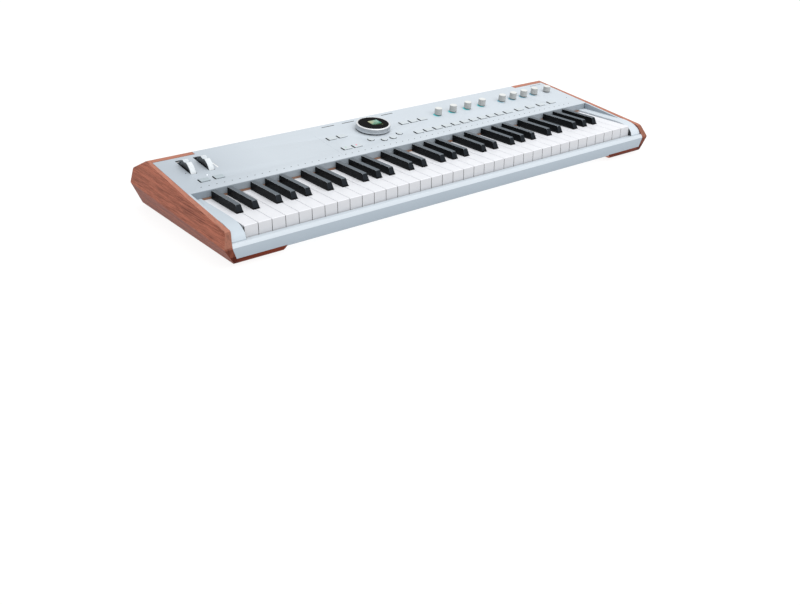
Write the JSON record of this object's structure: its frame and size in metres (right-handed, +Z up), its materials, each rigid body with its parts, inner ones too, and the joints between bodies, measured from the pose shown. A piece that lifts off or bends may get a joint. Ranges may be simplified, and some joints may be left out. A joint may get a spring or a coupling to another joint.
{
  "type": "stage keyboard",
  "caption": "Slim stage keyboard with sprung piano-style keys, sloped control panel, round display dial, knobs, buttons, two performance wheels and wrap-round wooden ends.",
  "frame": {"origin": "centre of the footprint, at the underside of the rubber feet", "axes": "+X towards the treble end, +Y towards the rear sockets, +Z up"},
  "size_m": [0.928, 0.329, 0.0962],
  "materials": {
    "painted_shell": "satin light grey paint",
    "rail_paint": "satin light grey paint",
    "oiled_wood": "reddish brown, satin",
    "white_key_plastic": "semi gloss",
    "black_key_plastic": "matt",
    "felt": "red felt",
    "sheet_steel": "zinc plated",
    "circuit_board": "glass fibre board",
    "display_glass": "gloss black",
    "dial_metal": "turned and brushed",
    "knob_plastic": "soft touch",
    "button_rubber": "matt",
    "dark_plastic": "matt",
    "foot_rubber": "matt",
    "wheel_plastic": "matt"
  },
  "bodies": {
    "case": {"left_wood_end": "oiled_wood", "right_wood_end": "oiled_wood", "control_panel": "painted_shell", "front_rail": "rail_paint", "left_key_block": "painted_shell", "right_key_block": "painted_shell", "bottom_tray": "painted_shell", "rear_panel": "painted_shell", "keybed_chassis": "sheet_steel", "key_felt_strip": "felt", "key_contact_board": "circuit_board", "main_board": "circuit_board", "control_board": "circuit_board", "display_glass": "display_glass", "dial_hub": "dark_plastic", "wheel_bracket": "sheet_steel", "audio_jacks": "dark_plastic", "pedal_jacks": "dark_plastic", "digital_ports": "dark_plastic", "left_foot_strip": "foot_rubber", "right_foot_strip": "foot_rubber"},
    "white_keys_ceg_1": {"white_keys_ceg_1": "white_key_plastic"},
    "white_keys_dfa_1": {"white_keys_dfa_1": "white_key_plastic"},
    "black_keys_1": {"black_keys_1": "black_key_plastic"},
    "white_keys_ceg_2": {"white_keys_ceg_2": "white_key_plastic"},
    "white_keys_dfa_2": {"white_keys_dfa_2": "white_key_plastic"},
    "black_keys_2": {"black_keys_2": "black_key_plastic"},
    "white_keys_ceg_3": {"white_keys_ceg_3": "white_key_plastic"},
    "white_keys_dfa_3": {"white_keys_dfa_3": "white_key_plastic"},
    "black_keys_3": {"black_keys_3": "black_key_plastic"},
    "white_keys_ceg_4": {"white_keys_ceg_4": "white_key_plastic"},
    "white_keys_dfa_4": {"white_keys_dfa_4": "white_key_plastic"},
    "black_keys_4": {"black_keys_4": "black_key_plastic"},
    "white_keys_ceg_5": {"white_keys_ceg_5": "white_key_plastic"},
    "white_keys_dfa_5": {"white_keys_dfa_5": "white_key_plastic"},
    "black_keys_5": {"black_keys_5": "black_key_plastic"},
    "white_key_top_c": {"white_key_top_c": "white_key_plastic"},
    "octave_down_button": {"octave_down_button": "button_rubber"},
    "octave_up_button": {"octave_up_button": "button_rubber"},
    "metronome_button": {"metronome_button": "button_rubber"},
    "loop_button": {"loop_button": "button_rubber"},
    "play_button": {"play_button": "button_rubber"},
    "record_button": {"record_button": "button_rubber"},
    "bank_keypad": {"bank_keypad": "button_rubber"},
    "effect_keypad": {"effect_keypad": "button_rubber"},
    "menu_keypad": {"menu_keypad": "button_rubber"},
    "preset_keypad": {"preset_keypad": "button_rubber"},
    "knob_1": {"knob_1": "knob_plastic"},
    "knob_2": {"knob_2": "knob_plastic"},
    "knob_3": {"knob_3": "knob_plastic"},
    "knob_4": {"knob_4": "knob_plastic"},
    "knob_5": {"knob_5": "knob_plastic"},
    "knob_6": {"knob_6": "knob_plastic"},
    "knob_7": {"knob_7": "knob_plastic"},
    "knob_8": {"knob_8": "knob_plastic"},
    "master_knob": {"master_knob": "knob_plastic"},
    "dial_ring": {"dial_ring": "dial_metal"},
    "pitch_wheel": {"pitch_wheel": "wheel_plastic"},
    "mod_wheel": {"mod_wheel": "wheel_plastic"},
    "power_button": {"power_button": "dark_plastic"}
  },
  "joints": [
    {"name": "white_keys_ceg_1_hinge", "type": "hinge", "parent": "case", "child": "white_keys_ceg_1", "pos_m": [-0.341, 0.0365, 0.0407], "axis": [1, 0, 0], "range_deg": [0, 3], "stiffness_Nm_per_rad": 2, "springref_deg": -14.32},
    {"name": "white_keys_dfa_1_hinge", "type": "hinge", "parent": "case", "child": "white_keys_dfa_1", "pos_m": [-0.341, 0.0245, 0.0407], "axis": [1, 0, 0], "range_deg": [0, 3.2], "stiffness_Nm_per_rad": 1.6, "springref_deg": -14.32},
    {"name": "black_keys_1_hinge", "type": "hinge", "parent": "case", "child": "black_keys_1", "pos_m": [-0.341, 0.0125, 0.0407], "axis": [1, 0, 0], "range_deg": [0, 4], "stiffness_Nm_per_rad": 1.6, "springref_deg": -14.32},
    {"name": "white_keys_ceg_2_hinge", "type": "hinge", "parent": "case", "child": "white_keys_ceg_2", "pos_m": [-0.1765, 0.0365, 0.0407], "axis": [1, 0, 0], "range_deg": [0, 3], "stiffness_Nm_per_rad": 2, "springref_deg": -14.32},
    {"name": "white_keys_dfa_2_hinge", "type": "hinge", "parent": "case", "child": "white_keys_dfa_2", "pos_m": [-0.1765, 0.0245, 0.0407], "axis": [1, 0, 0], "range_deg": [0, 3.2], "stiffness_Nm_per_rad": 1.6, "springref_deg": -14.32},
    {"name": "black_keys_2_hinge", "type": "hinge", "parent": "case", "child": "black_keys_2", "pos_m": [-0.1765, 0.0125, 0.0407], "axis": [1, 0, 0], "range_deg": [0, 4], "stiffness_Nm_per_rad": 1.6, "springref_deg": -14.32},
    {"name": "white_keys_ceg_3_hinge", "type": "hinge", "parent": "case", "child": "white_keys_ceg_3", "pos_m": [-0.012, 0.0365, 0.0407], "axis": [1, 0, 0], "range_deg": [0, 3], "stiffness_Nm_per_rad": 2, "springref_deg": -14.32},
    {"name": "white_keys_dfa_3_hinge", "type": "hinge", "parent": "case", "child": "white_keys_dfa_3", "pos_m": [-0.012, 0.0245, 0.0407], "axis": [1, 0, 0], "range_deg": [0, 3.2], "stiffness_Nm_per_rad": 1.6, "springref_deg": -14.32},
    {"name": "black_keys_3_hinge", "type": "hinge", "parent": "case", "child": "black_keys_3", "pos_m": [-0.012, 0.0125, 0.0407], "axis": [1, 0, 0], "range_deg": [0, 4], "stiffness_Nm_per_rad": 1.6, "springref_deg": -14.32},
    {"name": "white_keys_ceg_4_hinge", "type": "hinge", "parent": "case", "child": "white_keys_ceg_4", "pos_m": [0.1525, 0.0365, 0.0407], "axis": [1, 0, 0], "range_deg": [0, 3], "stiffness_Nm_per_rad": 2, "springref_deg": -14.32},
    {"name": "white_keys_dfa_4_hinge", "type": "hinge", "parent": "case", "child": "white_keys_dfa_4", "pos_m": [0.1525, 0.0245, 0.0407], "axis": [1, 0, 0], "range_deg": [0, 3.2], "stiffness_Nm_per_rad": 1.6, "springref_deg": -14.32},
    {"name": "black_keys_4_hinge", "type": "hinge", "parent": "case", "child": "black_keys_4", "pos_m": [0.1525, 0.0125, 0.0407], "axis": [1, 0, 0], "range_deg": [0, 4], "stiffness_Nm_per_rad": 1.6, "springref_deg": -14.32},
    {"name": "white_keys_ceg_5_hinge", "type": "hinge", "parent": "case", "child": "white_keys_ceg_5", "pos_m": [0.317, 0.0365, 0.0407], "axis": [1, 0, 0], "range_deg": [0, 3], "stiffness_Nm_per_rad": 2, "springref_deg": -14.32},
    {"name": "white_keys_dfa_5_hinge", "type": "hinge", "parent": "case", "child": "white_keys_dfa_5", "pos_m": [0.317, 0.0245, 0.0407], "axis": [1, 0, 0], "range_deg": [0, 3.2], "stiffness_Nm_per_rad": 1.6, "springref_deg": -14.32},
    {"name": "black_keys_5_hinge", "type": "hinge", "parent": "case", "child": "black_keys_5", "pos_m": [0.317, 0.0125, 0.0407], "axis": [1, 0, 0], "range_deg": [0, 4], "stiffness_Nm_per_rad": 1.6, "springref_deg": -14.32},
    {"name": "white_key_top_c_hinge", "type": "hinge", "parent": "case", "child": "white_key_top_c", "pos_m": [0.41125, 0.0365, 0.0407], "axis": [1, 0, 0], "range_deg": [0, 3], "stiffness_Nm_per_rad": 0.6, "springref_deg": -14.32},
    {"name": "octave_down_button_press", "type": "slide", "parent": "case", "child": "octave_down_button", "axis": [0, 0.1212, -0.9926], "range_m": [0, 0.001], "stiffness_N_per_m": 400, "springref_m": -0.0015},
    {"name": "octave_up_button_press", "type": "slide", "parent": "case", "child": "octave_up_button", "axis": [0, 0.1212, -0.9926], "range_m": [0, 0.001], "stiffness_N_per_m": 400, "springref_m": -0.0015},
    {"name": "metronome_button_press", "type": "slide", "parent": "case", "child": "metronome_button", "axis": [0, 0.1212, -0.9926], "range_m": [0, 0.001], "stiffness_N_per_m": 400, "springref_m": -0.0015},
    {"name": "loop_button_press", "type": "slide", "parent": "case", "child": "loop_button", "axis": [0, 0.1212, -0.9926], "range_m": [0, 0.001], "stiffness_N_per_m": 400, "springref_m": -0.0015},
    {"name": "play_button_press", "type": "slide", "parent": "case", "child": "play_button", "axis": [0, 0.1212, -0.9926], "range_m": [0, 0.001], "stiffness_N_per_m": 400, "springref_m": -0.0015},
    {"name": "record_button_press", "type": "slide", "parent": "case", "child": "record_button", "axis": [0, 0.1212, -0.9926], "range_m": [0, 0.001], "stiffness_N_per_m": 400, "springref_m": -0.0015},
    {"name": "bank_keypad_press", "type": "slide", "parent": "case", "child": "bank_keypad", "axis": [0, 0.1212, -0.9926], "range_m": [0, 0.001], "stiffness_N_per_m": 900, "springref_m": -0.0015},
    {"name": "effect_keypad_press", "type": "slide", "parent": "case", "child": "effect_keypad", "axis": [0, 0.1212, -0.9926], "range_m": [0, 0.001], "stiffness_N_per_m": 900, "springref_m": -0.0015},
    {"name": "menu_keypad_press", "type": "slide", "parent": "case", "child": "menu_keypad", "axis": [0, 0.1212, -0.9926], "range_m": [0, 0.001], "stiffness_N_per_m": 900, "springref_m": -0.0015},
    {"name": "preset_keypad_press", "type": "slide", "parent": "case", "child": "preset_keypad", "axis": [0, 0.1212, -0.9926], "range_m": [0, 0.001], "stiffness_N_per_m": 900, "springref_m": -0.0015},
    {"name": "knob_1_turn", "type": "hinge", "parent": "case", "child": "knob_1", "pos_m": [0.122, 0.0665, 0.08072], "axis": [0, -0.1212, 0.9926], "continuous": true},
    {"name": "knob_2_turn", "type": "hinge", "parent": "case", "child": "knob_2", "pos_m": [0.1592, 0.0665, 0.08072], "axis": [0, -0.1212, 0.9926], "continuous": true},
    {"name": "knob_3_turn", "type": "hinge", "parent": "case", "child": "knob_3", "pos_m": [0.1964, 0.0665, 0.08072], "axis": [0, -0.1212, 0.9926], "continuous": true},
    {"name": "knob_4_turn", "type": "hinge", "parent": "case", "child": "knob_4", "pos_m": [0.2336, 0.0665, 0.08072], "axis": [0, -0.1212, 0.9926], "continuous": true},
    {"name": "knob_5_turn", "type": "hinge", "parent": "case", "child": "knob_5", "pos_m": [0.288, 0.0665, 0.08072], "axis": [0, -0.1212, 0.9926], "continuous": true},
    {"name": "knob_6_turn", "type": "hinge", "parent": "case", "child": "knob_6", "pos_m": [0.3178, 0.0665, 0.08072], "axis": [0, -0.1212, 0.9926], "continuous": true},
    {"name": "knob_7_turn", "type": "hinge", "parent": "case", "child": "knob_7", "pos_m": [0.3476, 0.0665, 0.08072], "axis": [0, -0.1212, 0.9926], "continuous": true},
    {"name": "knob_8_turn", "type": "hinge", "parent": "case", "child": "knob_8", "pos_m": [0.3774, 0.0665, 0.08072], "axis": [0, -0.1212, 0.9926], "continuous": true},
    {"name": "master_knob_turn", "type": "hinge", "parent": "case", "child": "master_knob", "pos_m": [0.414, 0.0665, 0.08072], "axis": [0, -0.1212, 0.9926], "range_deg": [-150, 150]},
    {"name": "dial_ring_turn", "type": "hinge", "parent": "case", "child": "dial_ring", "pos_m": [-0.0334, 0.065, 0.08053], "axis": [0, -0.1212, 0.9926], "continuous": true},
    {"name": "pitch_wheel_turn", "type": "hinge", "parent": "case", "child": "pitch_wheel", "pos_m": [-0.4035, 0.06885, 0.06982], "axis": [1, 0, 0], "range_deg": [-35, 35], "stiffness_Nm_per_rad": 0.08},
    {"name": "mod_wheel_turn", "type": "hinge", "parent": "case", "child": "mod_wheel", "pos_m": [-0.3711, 0.06885, 0.06982], "axis": [1, 0, 0], "range_deg": [-35, 35]},
    {"name": "power_button_press", "type": "slide", "parent": "case", "child": "power_button", "axis": [0, -1, 0], "range_m": [0, 0.002], "stiffness_N_per_m": 500, "springref_m": -0.002}
  ]
}
